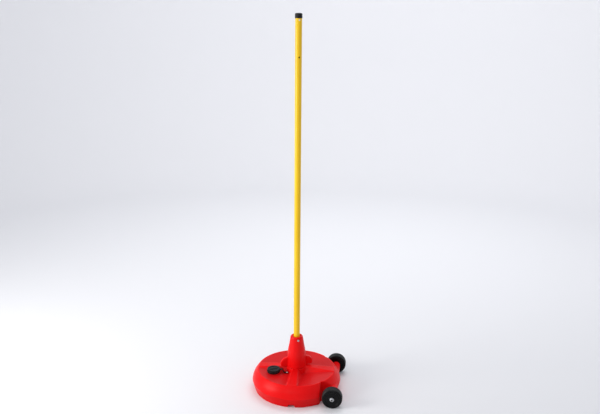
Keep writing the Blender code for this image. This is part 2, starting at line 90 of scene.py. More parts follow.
def rounded(corners, radius, loop=False):
    """A section through (r, z) corners with each corner turned to a small arc."""
    count = len(corners)
    least_turn, arc_step, side_share = 0.12, 0.26, 0.42
    path = []
    for k, (x, y) in enumerate(corners):
        if not loop and k in (0, count - 1):
            path.append((x, y))
            continue
        here = Vector((x, y))
        before = Vector(corners[k - 1]) - here
        after = Vector(corners[(k + 1) % count]) - here
        turn = math.pi - before.angle(after)
        if turn < least_turn:
            path.append((x, y))
            continue
        reach = min(radius * math.tan(turn / 2), side_share * before.length, side_share * after.length)
        start = here + before.normalized() * reach
        end = here + after.normalized() * reach
        steps = max(2, round(turn / arc_step))
        ease = min(0.0004, before.length / 10, after.length / 10)
        path.append(tuple(start + before.normalized() * ease))
        for s in range(steps + 1):
            t = s / steps
            path.append(tuple(start.lerp(here, t).lerp(here.lerp(end, t), t)))
        path.append(tuple(end + after.normalized() * ease))
    return path


def turned(name, corners, radius=0.0005, loop=False, around=96):
    """A turned or moulded round piece from its section, about Z."""
    path = np.array(rounded(corners, radius, loop))
    angle = np.linspace(0, math.tau, around, endpoint=False)
    rows = np.stack([path[:, :1] * np.cos(angle), path[:, :1] * np.sin(angle),
                     np.broadcast_to(path[:, 1:], (len(path), around))], -1)
    return skin(name, rows, loop)


def stood(piece, spot, turn=0.0):
    """Moves a piece made about Z to a spot of the plan."""
    piece.data.transform(Matrix.Translation((spot.x, spot.y, 0)) @ Matrix.Rotation(turn, 4, "Z"))
    return piece


def cut(piece, tool, how="DIFFERENCE"):
    """Works one tool shape into a piece and puts the tool away."""
    step = piece.modifiers.new(tool.name, "BOOLEAN")
    step.object = tool
    step.operation = how
    step.solver = "EXACT"
    made = piece.evaluated_get(bpy.context.evaluated_depsgraph_get())
    mesh = bpy.data.meshes.new_from_object(made)
    piece.modifiers.clear()
    piece.data = mesh
    bpy.data.objects.remove(tool, do_unlink=True)


def fit(piece, body, finish, stands_for):
    """Shades a finished piece, gives it its finish and sets it on the body it moves with."""
    piece.data.materials.clear()
    piece.data.materials.append(finish.material)
    piece.data.shade_smooth()
    piece.data.set_sharp_from_angle(angle=math.radians(32))
    if body:
        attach(piece, body)
    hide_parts(stands_for)


class Value:
    """A number that varies over a surface; sums written with it become Math nodes."""

    def __init__(self, finish, socket):
        self.finish = finish
        self.socket = socket

    def math(self, operation, *terms):
        return self.finish.node("ShaderNodeMath", {"operation": operation}, dict(enumerate(terms)))

    def __add__(self, other):
        return self.math("ADD", self, other)

    def __sub__(self, other):
        return self.math("SUBTRACT", self, other)

    def __rsub__(self, other):
        return self.math("SUBTRACT", other, self)

    def __mul__(self, other):
        return self.math("MULTIPLY", self, other)

    def __pow__(self, other):
        return self.math("POWER", self, other)

    __radd__ = __add__
    __rmul__ = __mul__

    def ramp(self, low, high):
        """0 below low, 1 above high and smooth between."""
        settings = {"interpolation_type": "SMOOTHSTEP", "clamp": True}
        return self.finish.node("ShaderNodeMapRange", settings, {0: self, 1: low, 2: high})


class Finish:
    """One surface finish: its material and the nodes that vary it."""

    def __init__(self, name, colour, roughness, metallic=0.0, **fixed):
        self.material = bpy.data.materials.new(name)
        self.material.use_nodes = True
        self.tree = self.material.node_tree
        self.shader = self.tree.nodes["Principled BSDF"]
        fixed = {"Base Color": (*colour, 1.0), "Roughness": roughness, "Metallic": metallic, **fixed}
        for socket, value in fixed.items():
            self.shader.inputs[socket].default_value = value
        self.place = self.node("ShaderNodeTexCoord", {}, {}, "Object")
        split = self.node("ShaderNodeSeparateXYZ", {}, {0: self.place}, None)
        self.x, self.y, self.z = (Value(self, out) for out in split.outputs)

    def node(self, kind, settings, sockets, out=0):
        made = self.tree.nodes.new(kind)
        for name, value in settings.items():
            setattr(made, name, value)
        for key, value in sockets.items():
            if isinstance(value, Value):
                self.tree.links.new(value.socket, made.inputs[key])
            else:
                made.inputs[key].default_value = value
        return made if out is None else Value(self, made.outputs[out])

    def colour(self, mask, plain, marked):
        """One colour where the mask is 0 and another where it is 1."""
        a, b = (c if isinstance(c, Value) else (*c, 1.0) for c in (plain, marked))
        return self.node("ShaderNodeMix", {"data_type": "RGBA"}, {0: mask, 6: a, 7: b}, 2)

    def grain(self, size, detail=2.0, stretch=(1, 1, 1), seed=(0, 0, 0)):
        """Soft random patches about `size` metres across, longer along a stretched axis."""
        spot = self.node("ShaderNodeVectorMath", {"operation": "MULTIPLY_ADD"},
                         {0: self.place, 1: tuple(1 / s for s in stretch), 2: seed})
        return self.node("ShaderNodeTexNoise", {}, {"Vector": spot, "Scale": 0.5 / size, "Detail": detail})

    def bump(self, height, depth, strength=1.0):
        """Relief `depth` metres high where height goes from 0 to 1."""
        sockets = {"Height": height, "Distance": depth, "Strength": strength}
        self.set("Normal", self.node("ShaderNodeBump", {}, sockets))

    def set(self, socket, value):
        self.tree.links.new(value.socket, self.shader.inputs[socket])


base_r, wide_z = 0.2165, 0.047
foot_r = 0.203
rim_r, rim_z = 0.187, 0.1040
side_crown = 0.0062
hub_r, hub_z = 0.0495, 0.115
floor_in_r, floor_out_r = hub_r + 0.002, rim_r - 0.004
floor_in, floor_out = 0.0890, 0.1012
floor_rise = (floor_out - floor_in) / (floor_out_r - floor_in_r)
rib_half_in, rib_half_out, rib_flank = 0.0135, 0.0235, 0.65
pad_r, pad_z = 0.0296, 0.0985
pocket_x, pocket_y, pocket_slope = 0.130, 0.130, 0.466

# Moulded polyethylene: even red with a faint cloudiness and a fine orange-peel skin. Painted shade
# darkens the dished floors, with a faint painted sheen, and the tapered foot; it is dusty low down from
# dragging.
red = (0.780, 0.0034, 0.0044)
shell_red = Finish("shell_red", red, 0.38, **{"Specular IOR Level": 0.11})
cloud = shell_red.grain(0.060, 3.0)
streak = shell_red.grain(0.006, 3.0, stretch=(1, 1, 5))
dirt = shell_red.grain(0.010, 4.0).ramp(0.46, 0.72) * (1 - shell_red.z.ramp(0.0, 0.050))
tone = shell_red.colour(cloud.ramp(0.30, 0.70), (0.745, 0.0028, 0.0036), (0.815, 0.0042, 0.0052))
# Painted shade: the tapered foot faces down, away from the light, so it is coloured darker red.
foot_painted_shade = 1 - shell_red.z.ramp(wide_z - 0.0030, wide_z + 0.0005)
tone = shell_red.colour(0.4 * foot_painted_shade, tone, (0.500, 0.0016, 0.0024))
tone = shell_red.colour(dirt * 0.16, tone, (0.200, 0.030, 0.026))
# Painted shade with a faint painted sheen: the dished floors between the ribs are coloured darker and
# greyer than the rib tops.
from_hub = (shell_red.x ** 2.0 + shell_red.y ** 2.0) ** 0.5
over_floor = shell_red.z - floor_in - floor_rise * (from_hub - floor_in_r)
floor_painted_shade = over_floor.ramp(-0.0040, -0.0020) * (1 - over_floor.ramp(0.0006, 0.0030))
floor_painted_shade = floor_painted_shade * (1 - from_hub.ramp(rim_r - 0.0070, rim_r - 0.0010))
shell_red.set("Base Color", shell_red.colour(0.75 * floor_painted_shade, tone, (0.600, 0.0075, 0.0095)))
shell_red.set("Roughness", 0.31 + 0.10 * cloud + 0.05 * streak.ramp(0.5, 0.7) + 0.20 * dirt)
shell_red.bump(0.75 * shell_red.grain(0.0016, 2.0) + 0.25 * shell_red.grain(0.0060, 2.0), 0.00012, 0.55)


def centre_of(node):
    """The middle of a node's box."""
    low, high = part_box(node)
    return (Vector(low) + Vector(high)) / 2


filler = centre_of("filler_cap")
axle = centre_of("axle_rod")


def shoulder(z):
    """Radius of the tank's side at a height: a crowned shoulder over a tapered foot."""
    t = (rim_z - z) / (rim_z - wide_z)
    upper = rim_r + t * (base_r - rim_r) + side_crown * np.sin(math.pi * np.clip(t, -0.15, 1))
    lower = foot_r + (base_r - foot_r) * z / wide_z
    return soft_min(upper, lower, 0.0012)


def top_height(x, y):
    """Height of the ribbed top at a point."""
    r = np.hypot(x, y)
    height = floor_in + (r - floor_in_r) * floor_rise
    for turn in range(4):
        c, s = round(math.cos(turn * math.pi / 2)), round(math.sin(turn * math.pi / 2))
        along, across = x * c + y * s, np.abs(y * c - x * s)
        share = (along - hub_r) / (rim_r - hub_r)
        crest = hub_z + share * (rim_z - hub_z)
        half = rib_half_in + (rib_half_out - rib_half_in) * share
        rib = soft_min(crest, crest - (across - half) / rib_flank, 0.0042)
        height = np.where(along > 0, soft_max(height, rib, 0.0034), height)
    hub = soft_min(np.full_like(r, hub_z), hub_z - (r - hub_r - 0.0004) * 9.0, 0.0050)
    height = soft_max(height, hub, 0.0034)
    off = np.hypot(x - filler.x, y - filler.y)
    pad = soft_min(np.full_like(r, pad_z), pad_z - (off - pad_r) * 2.2, 0.0016)
    return soft_max(height, pad, 0.0022)


def pocket_limit(angle):
    """How far out the tank reaches at an angle, where the wheel pockets cut it back."""
    ahead = np.maximum(np.cos(angle), 0.05)
    wall = np.where(np.cos(angle) > 0.05, pocket_x / ahead, 1.0)
    slant = (pocket_y + pocket_slope * pocket_x) / (np.abs(np.sin(angle)) + pocket_slope * ahead)
    return np.where(np.cos(angle) > 0.05, soft_max(wall, slant, 0.0060), 1.0)


# More points go near the corners of the wheel pockets.
angles = [np.arange(0, 360, 0.5)]
for corner in (26.6, 45.0, 53.1):
    angles += [side * (corner + np.arange(-2.1, 2.1, 0.15)) % 360 for side in (1, -1)]
angles = np.radians(np.unique(np.round(np.concatenate(angles), 2)))
across_x, across_y = np.cos(angles), np.sin(angles)
limit = pocket_limit(angles)
side_z = np.linspace(wide_z, 0.112, 200)
side_r = shoulder(side_z)
rows = []
reach = np.concatenate([[0.0], np.arange(0.008, 0.046, 0.008), np.arange(0.046, 0.056, 0.0008),
                        np.arange(0.056, 0.180, 0.0035), np.arange(0.180, 0.2150, 0.0009)])
for r in reach:
    slope = np.interp(r, side_r[::-1], side_z[::-1]) + max(side_r[-1] - r, 0.0) * 3
    out = soft_min(np.full_like(angles, r), limit, 0.0040)
    rows.append((out, soft_min(top_height(r * across_x, r * across_y), slope, 0.0028)))
last = float(np.interp(reach[-1], side_r[::-1], side_z[::-1]))
for z in np.concatenate([np.linspace(last, 0.0015, 26)[1:], [0.0005]]):
    out = shoulder(z) - (0.0006 if z < 0.001 else 0.0)
    rows.append((soft_min(np.full_like(angles, out), limit, 0.0040), np.full_like(angles, z)))
for r in (foot_r - 0.0018, 0.19, 0.12, 0.06, 0.0):
    rows.append((soft_min(np.full_like(angles, r), limit - 0.0012, 0.0040), np.zeros_like(angles)))
base = skin("base_tank", np.array([np.stack([r * across_x, r * across_y, z], -1) for r, z in rows]))


def slab(name, rings, soften):
    """A tool with flat faces and softened edges, through two rings of corners."""
    count = len(rings[0])
    made = bmesh.new()
    ends = [[made.verts.new(point) for point in ring] for ring in rings]
    made.faces.new(list(reversed(ends[0])))
    made.faces.new(ends[1])
    for k in range(count):
        n = (k + 1) % count
        made.faces.new((ends[0][k], ends[0][n], ends[1][n], ends[1][k]))
    bmesh.ops.bevel(made, geom=made.edges[:], offset=soften, segments=4, profile=0.5,
                    affect="EDGES", clamp_overlap=True)
    bmesh.ops.recalc_face_normals(made, faces=made.faces)
    mesh = bpy.data.meshes.new(name)
    made.to_mesh(mesh)
    made.free()
    piece = bpy.data.objects.new(name, mesh)
    bpy.context.collection.objects.link(piece)
    return piece


for turn in (90, 180, 270):
    rings = [[(r, -0.0270, -0.0190), (r, 0.0270, -0.0190), (r, 0.01175, 0.0170), (r, -0.01175, 0.0170)]
             for r in (foot_r - 0.020, base_r + 0.0435)]
    tool = slab("notch_tool", rings, 0.0030)
    tool.data.transform(Matrix.Rotation(math.radians(turn), 4, "Z"))
    cut(base, tool)


def along_axle(piece, side=-1):
    """Lays a turned piece along the axle; its own +Z then points out to that side."""
    turn = Matrix.Rotation(math.radians(-90 * side), 4, "X")
    piece.data.transform(Matrix.Translation((axle.x, 0, axle.z)) @ turn)
    return piece


housing = turned("housing_tool", [(0, 0.148), (0.020, 0.148), (0.020, -0.148), (0, -0.148)], 0.0016)
cut(base, along_axle(housing), "UNION")
neck = turned("neck_tool", [(0, 0.1110), (0.0225, 0.1110), (0.0225, 0.0930), (0, 0.0930)], 0.0009)
cut(base, stood(neck, filler), "UNION")
root, depth, turns = 0.0219, 0.0011, 2
rows = []
for t in np.linspace(0, 1, 145):
    crest = root + depth * min(1.0, 10 * t, 10 - 10 * t)
    z = 0.1016 + 0.0070 * t
    angle = math.tau * turns * t
    rows.append([(r * math.cos(angle), r * math.sin(angle), z + dz)
                 for r, dz in ((root, -0.0011), (crest, -0.0003), (crest, 0.0003), (root, 0.0011))])
thread = skin("thread_tool", np.array([[rows[0][0]] * 4, *rows[1:-1], [rows[-1][0]] * 4]))
cut(base, stood(thread, filler), "UNION")
mouth = turned("mouth_tool", [(0, 0.1200), (0.0205, 0.1200), (0.0185, 0.1095), (0.0185, 0.0300),
                              (0, 0.0300)])
cut(base, stood(mouth, filler))
cut(base, turned("well_tool", [(0, 0.2), (0.0365, 0.2), (0.0365, 0.0610), (0, 0.0610)], around=80))
bore = turned("axle_tool", [(0, 0.16), (0.0062, 0.16), (0.0062, -0.16), (0, -0.16)], around=48)
cut(base, along_axle(bore))
fit(base, "base", shell_red, "base_shell")


# ---------------------------------------------------------------- Turn-lock socket
# A tapered red moulding that holds the pole upright. Two rounded wings at its foot are
# gripped to turn it in the hub, where hidden lugs lock it down.

socket_red = Finish("socket_red", red, 0.36, **{"Specular IOR Level": 0.14})
cloud = socket_red.grain(0.045, 3.0)
fine = socket_red.grain(0.0013, 2.0)
tone = socket_red.colour(cloud.ramp(0.30, 0.70), (0.760, 0.0028, 0.0036), (0.820, 0.0040, 0.0050))
socket_red.set("Base Color", tone)
socket_red.set("Roughness", 0.27 + 0.10 * cloud + 0.04 * fine)
socket_red.bump(0.7 * fine + 0.3 * socket_red.grain(0.0070), 0.00010, 0.5)

wing_turn = math.radians(20)
wing_r, wing_top, wing_low, wing_half = 0.079, 0.1625, 0.1159, 0.0080
wing_wide_low, wing_wide_high = 0.124, 0.131
wing_fade = 0.004
foot_z, foot_edge = 0.1153, 0.0024
mouth_z, lip_z, lip_r, bore_r = 0.2705, 0.2660, 0.0300, 0.01535
taper_z = [foot_z, 0.1200, 0.1400, 0.1580, 0.1700, 0.1820, 0.2000, 0.2225, 0.2500, 0.2580, lip_z]
taper_r = [0.0472, 0.0464, 0.0455, 0.0450, 0.0446, 0.0440, 0.0420, 0.0374, 0.0329, 0.0314, lip_r]
heights = np.linspace(foot_z, lip_z, 151)
smooth_r = np.convolve(np.pad(np.interp(heights, taper_z, taper_r), 6, "edge"), np.ones(13) / 13, "valid")
spread = [np.arange(0, 360, 3.0)]
for side in (20, 200):
    spread.append((side + np.arange(-16, 16.1, 0.4)) % 360)
spread = np.radians(np.unique(np.round(np.concatenate(spread), 2)))
beside = np.abs(np.sin(spread - wing_turn))
ahead = np.abs(np.cos(spread - wing_turn))


def wing_reach(z):
    """How far a wing stands out at a height."""
    if z > wing_wide_high:
        root, share = 0.040, (z - wing_wide_high) / (wing_top - wing_wide_high)
    else:
        root, share = 0.070, max(wing_wide_low - z, 0) / (wing_wide_low - wing_low)
    return root + (wing_r - root) * math.sqrt(max(1 - share ** 2, 0))


def ring(radius, z):
    """One ring of the socket's surface at a height."""
    return np.stack([radius * np.cos(spread), radius * np.sin(spread), np.full_like(spread, z)], -1)


rows = [ring(r, z) for r, z in rounded([(0, 0.170), (bore_r, 0.170), (bore_r, 0.2635), (0.0186, 0.2668),
                                        (0.0208, mouth_z), (0.0270, mouth_z), (lip_r, lip_z)], 0.0016)[:-1]]
for z in np.concatenate([np.arange(lip_z, 0.1680, -0.0035), np.arange(0.1670, 0.1157, -0.0007)]):
    cone = float(np.interp(z, heights, smooth_r))
    under = max(foot_z + foot_edge - z, 0.0)
    radius = np.full_like(spread, cone - foot_edge + math.sqrt(foot_edge ** 2 - under ** 2))
    if wing_low < z < wing_top + wing_fade:
        far = wing_reach(min(z, wing_top))
        bar = ((ahead / far) ** 7 + (beside / wing_half) ** 7) ** (-1 / 7)
        fade = min(max((wing_top + wing_fade - z) / 0.006, 0), 1)
        radius = soft_max(radius, bar * fade, 0.0050)
    rows.append(ring(radius, z))
rows += [ring(r, z) for r, z in ((0.0448, foot_z), (0.0355, foot_z), (0.0355, 0.0630), (0.0, 0.0630))]
socket = skin("pole_socket", np.array(rows))
facing = Vector((math.cos(math.radians(-70)), math.sin(math.radians(-70)), 0))
screw_z = centre_of("clamp_screw").z


def aimed(piece, z):
    """Lays a turned piece along the line that faces out from the pole at a height."""
    turn = facing.to_track_quat("Z", "Y").to_matrix().to_4x4()
    piece.data.transform(Matrix.Translation((0, 0, z)) @ turn)
    return piece


cut(socket, aimed(turned("screw_tool", [(0, 0.05), (0.0053, 0.05), (0.0053, 0.006), (0, 0.006)], around=40),
                  screw_z))
fit(socket, "socket_body", socket_red, "socket")


# ---------------------------------------------------------------- Clamp screw and insert
# A zinc-plated socket-head screw in a brass insert near the socket's mouth. It is turned
# with a hex key and presses on the pole to hold its height.

# Bright plate with a faint haze; the key sockets in the axle's ends are painted dark, as painted shade for
# their depth together with some oxide.
zinc = Finish("zinc_plate", (0.62, 0.63, 0.65), 0.26, 1.0)
haze = zinc.grain(0.0030, 3.0)
off_axle = ((zinc.x - axle.x) ** 2.0 + (zinc.z - axle.z) ** 2.0) ** 0.5
plate = zinc.colour(haze.ramp(0.35, 0.7), (0.66, 0.67, 0.69), (0.46, 0.47, 0.49))
# Painted shade with some oxide: within the axle's key sockets the plate is coloured near black.
zinc.set("Base Color", zinc.colour(off_axle.ramp(0.0041, 0.0047), (0.030, 0.028, 0.026), plate))
zinc.set("Roughness", 0.20 + 0.22 * haze)
zinc.bump(zinc.grain(0.0005), 0.00002, 0.5)
brass = Finish("turned_brass", (0.56, 0.40, 0.14), 0.32, 1.0)
rings = brass.grain(0.0008, 2.0)
brass.set("Base Color", brass.colour(rings, (0.62, 0.45, 0.17), (0.42, 0.29, 0.10)))
brass.set("Roughness", 0.25 + 0.2 * rings)


def hex_tool(flats, start, end):
    """The hex key's recess, along Z."""
    corner = flats / math.sqrt(3)
    rings = [[(corner * math.cos(k * math.pi / 3), corner * math.sin(k * math.pi / 3), z) for k in range(6)]
             for z in (start, end)]
    return slab("hex_tool", rings, 0.0001)


screw = turned("clamp_bolt", [(0, 0.0355), (0.0048, 0.0355), (0.0048, 0.0320), (0.0030, 0.0320),
                              (0.0030, 0.0156), (0, 0.0156)], 0.0008, around=64)
cut(screw, hex_tool(0.0040, 0.0332, 0.0400))
fit(aimed(screw, screw_z), "clamp", zinc, "clamp_screw")
insert = turned("clamp_sleeve", [(0.0033, 0.0286), (0.0050, 0.0286), (0.0050, 0.0166), (0.0033, 0.0166)],
                0.0002, True, 48)
fit(aimed(insert, screw_z), "socket_body", brass, "clamp_insert")


# ---------------------------------------------------------------- Pole
# A straight extruded yellow tube, 30 mm across, dull inside, its bore darkened by painted shade. It has a
# small cross hole for a jump cup below its top, faint draw lines and a few rub marks.

tube_yellow = Finish("tube_yellow", (0.860, 0.500, 0.012), 0.30, **{"Specular IOR Level": 0.30})
lines = tube_yellow.grain(0.0011, 2.0, stretch=(1, 1, 60))
rub = tube_yellow.grain(0.012, 4.0, stretch=(1, 1, 3)).ramp(0.60, 0.80)
band = tube_yellow.z.ramp(1.555, 1.566) * (1 - tube_yellow.z.ramp(1.570, 1.580))
scuff = rub * (0.25 + 0.75 * band)
cloud = tube_yellow.grain(0.15, 2.0).ramp(0.3, 0.7)
pole_r = 0.0150
off_axis = (tube_yellow.x ** 2.0 + tube_yellow.y ** 2.0) ** 0.5
# Painted shade: the inside of the tube is coloured near black.
bore_painted_shade = 1 - off_axis.ramp(pole_r - 0.0014, pole_r - 0.0007)
tone = tube_yellow.colour(cloud, (0.860, 0.520, 0.010), (0.900, 0.560, 0.014))
tone = tube_yellow.colour(scuff * 0.55, tone, (0.480, 0.290, 0.060))
tube_yellow.set("Base Color", tube_yellow.colour(bore_painted_shade, tone, (0.030, 0.018, 0.004)))
tube_yellow.set("Roughness", 0.25 + 0.08 * lines + 0.25 * scuff)
tube_yellow.bump(0.8 * lines + 0.2 * tube_yellow.grain(0.004), 0.00006, 0.5)

tube_low, tube_high = (corner[2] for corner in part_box("pole_tube"))
rivet_z = centre_of("pole_rivet").z
tube = turned("yellow_tube", [(pole_r - 0.0018, tube_high), (pole_r, tube_high), (pole_r, tube_low),
                               (pole_r - 0.0018, tube_low)], 0.0003, True, 96)
for height, radius in ((rivet_z, 0.0018), (rivet_z + 0.030 - 0.187, 0.0036)):
    tool = turned("drill_tool", [(0, 0.02), (radius, 0.02), (radius, 0.005), (0, 0.005)], around=40)
    cut(tube, aimed(tool, height))
fit(tube, "pole", tube_yellow, "pole_tube")


# ---------------------------------------------------------------- Pole cap, rivet and foot
# A black moulded cap closes the tube's top and is pinned by one pale plastic rivet; a
# black plug closes the foot inside the socket.

black = Finish("moulded_black", (0.0060, 0.0062, 0.0064), 0.42, **{"Specular IOR Level": 0.26})
skin_grain = black.grain(0.0009, 3.0)
worn = black.grain(0.008, 4.0).ramp(0.55, 0.78)
black.set("Base Color", black.colour(worn * 0.6, (0.0050, 0.0052, 0.0054), (0.0170, 0.0172, 0.0175)))
black.set("Roughness", 0.36 + 0.16 * skin_grain + 0.10 * worn)
black.bump(skin_grain, 0.00008, 0.6)
pale = Finish("pale_plastic", (0.78, 0.78, 0.76), 0.35)
spots = pale.grain(0.0020, 3.0)
pale.set("Base Color", pale.colour(spots.ramp(0.4, 0.75), (0.80, 0.80, 0.78), (0.62, 0.61, 0.57)))
pale.set("Roughness", 0.30 + 0.15 * spots)

cap_low, cap_high = (corner[2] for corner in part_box("pole_cap"))
skirt = cap_high - 0.0225
cap = turned("pole_top_cap", [
    (0, cap_high), (pole_r - 0.0045, cap_high - 0.0002), (pole_r + 0.0014, cap_high - 0.0024),
    (pole_r + 0.0014, skirt + 0.0022), (pole_r + 0.0011, skirt + 0.0018), (pole_r + 0.0011, skirt),
    (pole_r + 0.0003, skirt), (pole_r + 0.0003, tube_high + 0.0003), (pole_r - 0.0021, tube_high + 0.0003),
    (pole_r - 0.0021, cap_low + 0.002), (pole_r - 0.0036, cap_low), (0, cap_low)], 0.0007)
pin_hole = turned("drill_tool", [(0, pole_r - 0.0010), (0.0018, pole_r - 0.0010), (0.0018, pole_r - 0.0050),
                                 (0, pole_r - 0.0050)], around=24)
cut(cap, aimed(pin_hole, rivet_z))
fit(cap, "pole", black, "pole_cap")
rivet = turned("pole_pin", [
    (0, pole_r + 0.0016), (0.0022, pole_r + 0.0013), (0.0036, pole_r + 0.0003), (0.0015, pole_r + 0.0002),
    (0.0015, pole_r - 0.0043), (0, pole_r - 0.0043)], 0.0003, around=40)
fit(aimed(rivet, rivet_z), "pole", pale, "pole_rivet")
foot_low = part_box("pole_foot_plug")[0][2]
foot = turned("pole_foot", [
    (0, foot_low + 0.021), (pole_r - 0.0033, foot_low + 0.021), (pole_r - 0.0021, foot_low + 0.019),
    (pole_r - 0.0021, foot_low + 0.0027), (pole_r - 0.0003, foot_low + 0.0027), (pole_r - 0.0003, foot_low),
    (0, foot_low)], 0.0004, around=64)
fit(foot, "pole", black, "pole_foot_plug")


# ---------------------------------------------------------------- Filler cap and seal
# A black screw cap on the tank's filler neck, fluted for grip, with a sunk top crossed by
# a grip bar and a groove round its side for the strap's ring. A grey washer seals it.

cap_base, cap_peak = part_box("filler_cap")[0][2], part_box("filler_cap")[1][2] - 0.0004
middle = (cap_base + cap_peak) / 2
around = np.linspace(0, math.tau, 384, endpoint=False)
flute = np.clip(np.cos(around * 16 + math.pi), 0, 1) ** 1.5
section = rounded([(0, cap_peak - 0.0020), (0.0212, cap_peak - 0.0020), (0.0226, cap_peak),
                   (0.0310, cap_peak), (0.0310, middle + 0.0022), (0.0285, middle + 0.0022),
                   (0.0285, middle - 0.0022), (0.0310, middle - 0.0022), (0.0310, cap_base),
                   (0.0233, cap_base), (0.0233, 0.1125), (0, 0.1125)], 0.0008)
rows = []
for r, z in section:
    depth = 0.0010 * min(max((r - 0.0290) / 0.0016, 0), 1)
    out = r - depth * flute
    rows.append(np.stack([filler.x + out * np.cos(around), filler.y + out * np.sin(around),
                          np.full_like(around, z)], -1))
lid = skin("filler_lid", np.array(rows))
rings = [[(-0.0192, -0.0030, z), (0.0192, -0.0030, z), (0.0192, 0.0030, z), (-0.0192, 0.0030, z)]
         for z in (cap_peak - 0.0034, cap_peak + 0.0004)]
bar = slab("bar_tool", rings, 0.0011)
cut(lid, stood(bar, filler, math.radians(35)), "UNION")
fit(lid, "cap", black, "filler_cap")

rubber = Finish("grey_rubber", (0.20, 0.205, 0.21), 0.7)
powder = rubber.grain(0.0030, 3.0)
rubber.set("Base Color", rubber.colour(powder, (0.17, 0.175, 0.18), (0.26, 0.265, 0.27)))
rubber.set("Roughness", 0.62 + 0.2 * powder)
seal = turned("filler_washer", [(0.0188, 0.1122), (0.0223, 0.1122), (0.0223, 0.1113), (0.0188, 0.1113)],
              0.0002, True, 96)
fit(stood(seal, filler), "cap_seal", rubber, "filler_seal")


# ---------------------------------------------------------------- Cap strap and rivet
# A flexible black strap keeps the cap with the base. Its ring snaps into the cap's groove,
# its strip drops in an S to the floor of the dish, and a pale-headed rivet holds its tab.

strap_black = Finish("strap_black", (0.0060, 0.0062, 0.0064), 0.5, **{"Specular IOR Level": 0.35})
flex = strap_black.grain(0.0012, 3.0)
strap_black.set("Base Color", strap_black.colour(flex.ramp(0.4, 0.8), (0.0050, 0.0052, 0.0054),
                                                 (0.0150, 0.0152, 0.0155)))
strap_black.set("Roughness", 0.38 + 0.2 * flex)
strap_black.bump(flex, 0.00008, 0.6)

tab = centre_of("strap_rivet")
tab_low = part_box("cap_strap")[0][2]
strap = turned("strap_ring", [(0.0289, middle + 0.0015), (0.0330, middle + 0.0015),
                              (0.0330, middle - 0.0015), (0.0289, middle - 0.0015)], 0.0006, True, 128)
stood(strap, filler)
upward = Vector((0, 0, 1))
ring_side = Vector((filler.x, filler.y, middle))
run = Vector((tab.x - filler.x, tab.y - filler.y, 0))
strip_start, strip_end = 0.0304, run.length
run.normalize()
over = upward.cross(run)
half_width, half_thick = 0.0060, 0.0014
drop = tab_low + half_thick - middle
rise, rise_share = 0.0072, 0.62
fall_start, fall_share = 0.12, 0.66
loops = []
for t in np.linspace(0, 1, 61):
    bend = min(max((t - fall_start) / fall_share, 0), 1)
    hump = rise * math.sin(math.pi * min(t / rise_share, 1)) ** 2
    tilt = 6 * bend * (1 - bend) / (fall_share * (strip_end - strip_start)) * drop
    up = (upward - run * tilt).normalized()
    out = strip_start + (strip_end - strip_start) * t
    centre = ring_side + run * out + upward * (hump + drop * bend * bend * (3 - 2 * bend))
    section = rounded([(-half_width, -half_thick), (half_width, -half_thick), (half_width, half_thick),
                       (-half_width, half_thick)], 0.0008, True)
    loops.append([tuple(centre + over * a + up * b) for a, b in section])
ends = [[tuple(np.mean(loop, 0))] * len(loop) for loop in (loops[0], loops[-1])]
strip = skin("strip_tool", np.array([ends[0], *loops, ends[1]]))
pad = turned("pad_tool", [(0, tab_low + 0.0024), (0.0065, tab_low + 0.0024), (0.0065, tab_low),
                          (0, tab_low)], 0.0006, around=64)
cut(strap, strip, "UNION")
cut(strap, stood(pad, tab), "UNION")
hole = turned("punch_tool", [(0, tab_low + 0.01), (0.0021, tab_low + 0.01), (0.0021, tab_low - 0.01),
                             (0, tab_low - 0.01)], around=32)
cut(strap, stood(hole, tab))
fit(strap, None, strap_black, "cap_strap")
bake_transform(strap)
stud_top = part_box("strap_rivet")[1][2]
stud = turned("strap_stud", [(0, stud_top), (0.0022, stud_top - 0.0003), (0.0040, stud_top - 0.0014),
                             (0.0040, stud_top - 0.0020), (0.0018, stud_top - 0.0020), (0.0018, 0.0824),
                             (0, 0.0824)], 0.0004, around=48)
fit(stood(stud, tab), "base", pale, "strap_rivet")


# ---------------------------------------------------------------- Axle, bolts and spacers
# A zinc-plated steel rod runs through the moulded housing. At each end a socket-head bolt
# and a washer keep the wheel on, and a black spacer holds it off the housing.

inner, outer = (corner[1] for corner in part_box("wheel_tyre_left"))
rod_end = outer + 0.0002
rod = turned("axle_bar", [(0, rod_end), (0.0060, rod_end), (0.0060, -rod_end), (0, -rod_end)], 0.0005,
             around=64)
for end in (outer + 0.010, 0.018 - outer):
    tap = [(0, end), (0.0031, end), (0.0031, end - 0.028), (0, end - 0.028)]
    cut(rod, turned("tap_tool", tap, around=32))
fit(along_axle(rod, 1), "base", zinc, "axle_rod")
sides = (("right", -1), ("left", 1))
for tag, side in sides:
    near = outer + 0.0005
    washer = turned(f"axle_disc_{tag}", [(0.0031, near + 0.0015), (0.0100, near + 0.0015), (0.0100, near),
                                         (0.0031, near)], 0.0003, True, 80)
    fit(along_axle(washer, side), "base", zinc, f"axle_washer_{tag}")
    head = near + 0.0018
    bolt = turned(f"axle_screw_{tag}", [
        (0, head + 0.0050), (0.0058, head + 0.0050), (0.0078, head + 0.0036), (0.0085, head + 0.0014),
        (0.0085, head), (0.0028, head), (0.0028, outer - 0.0160), (0, outer - 0.0160)], 0.0007, around=80)
    cut(bolt, hex_tool(0.0080, head + 0.0016, head + 0.02))
    fit(along_axle(bolt, side), "base", zinc, f"axle_bolt_{tag}")
    spacer = turned(f"axle_spacer_{tag}", [
        (0.0063, inner - 0.0003), (0.0110, inner - 0.0003), (0.0110, inner - 0.0047),
        (0.0063, inner - 0.0047)], 0.0004, True, 64)
    fit(along_axle(spacer, side), "base", black, f"wheel_spacer_{tag}")


# ---------------------------------------------------------------- Wheels
# Two small wheels with black moulded hubs, solid dark-grey tyres with rounded shoulders,
# and a nylon bush that turns on the axle.

